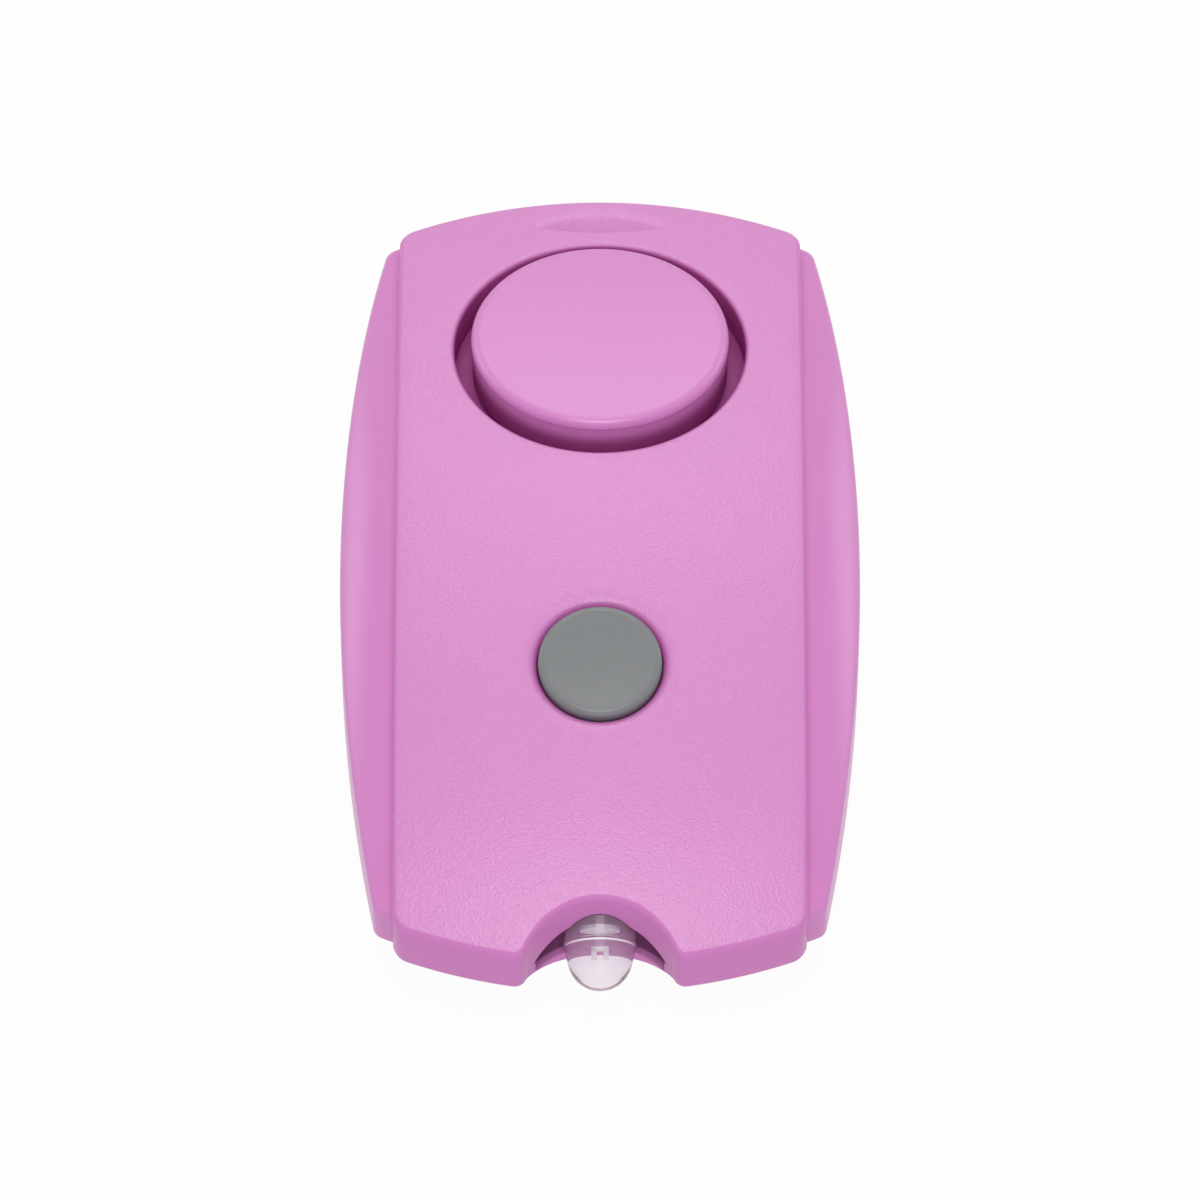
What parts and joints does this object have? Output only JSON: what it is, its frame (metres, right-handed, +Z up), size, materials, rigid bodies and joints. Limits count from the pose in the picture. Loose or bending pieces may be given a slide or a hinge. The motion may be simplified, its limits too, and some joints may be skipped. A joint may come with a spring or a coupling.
{
  "type": "personal safety alarm",
  "caption": "Pocket personal safety alarm with a crowned lilac-pink front panel, a round siren cap in a recess, a grey press button and a clear torch light in the end notch",
  "frame": {"origin": "middle of the flat back, where the case lies on a table", "axes": "+Z up out of the front panel, +Y along the case towards the siren and the pin socket, +X across the case"},
  "size_m": [0.0372, 0.0652, 0.0175],
  "materials": {
    "case_pink": "fine grain, satin",
    "button_grey": "matte",
    "lens_clear": "clear",
    "steel": "bright",
    "brass": "satin",
    "copper": "enamelled wire",
    "ceramic_white": "matte",
    "plastic_white": "satin",
    "plastic_black": "matte",
    "rubber_black": "matte",
    "board_green": "solder mask"
  },
  "bodies": {
    "case": {"front_cover": "case_pink", "rear_shell": "case_pink", "siren_cap": "case_pink", "sounder_gasket": "rubber_black", "sounder_plate": "brass", "sounder_ceramic": "ceramic_white", "sounder_holder": "plastic_white", "sounder_wires": "plastic_black", "switch_body": "plastic_black", "circuit_board": "board_green", "torch_lens": "lens_clear", "torch_leads": "steel", "coin_cell_1": "steel", "coin_cell_2": "steel", "contact_negative": "brass", "contact_positive": "brass", "coil_core": "plastic_black", "coil_winding": "copper", "driver_chip": "plastic_black", "transistor": "plastic_black", "capacitor": "steel", "resistor_1": "plastic_black", "resistor_2": "plastic_black", "resistor_3": "plastic_black", "pin_leaf_1": "brass", "pin_leaf_2": "brass", "pin_wires": "plastic_black", "case_screw_1": "steel", "case_screw_2": "steel", "case_screw_3": "steel", "case_screw_4": "steel"},
    "press_button": {"press_button": "button_grey"},
    "switch_plunger": {"switch_plunger": "plastic_white"},
    "battery_door": {"battery_door": "case_pink"}
  },
  "joints": [
    {"name": "button_press", "type": "slide", "parent": "case", "child": "press_button", "axis": [0, 0.1105, -0.9939], "range_m": [0, 0.0004], "stiffness_N_per_m": 400},
    {"name": "plunger_press", "type": "slide", "parent": "case", "child": "switch_plunger", "axis": [0, 0, -1], "range_m": [0, 0.0005]},
    {"name": "door_twist", "type": "hinge", "parent": "case", "child": "battery_door", "pos_m": [0, -0.0015, 0], "axis": [0, 0, 1], "range_deg": [0, 45]}
  ],
  "couplings": [
    {"joint": "plunger_press", "follows": "button_press", "ratio": 1}
  ]
}
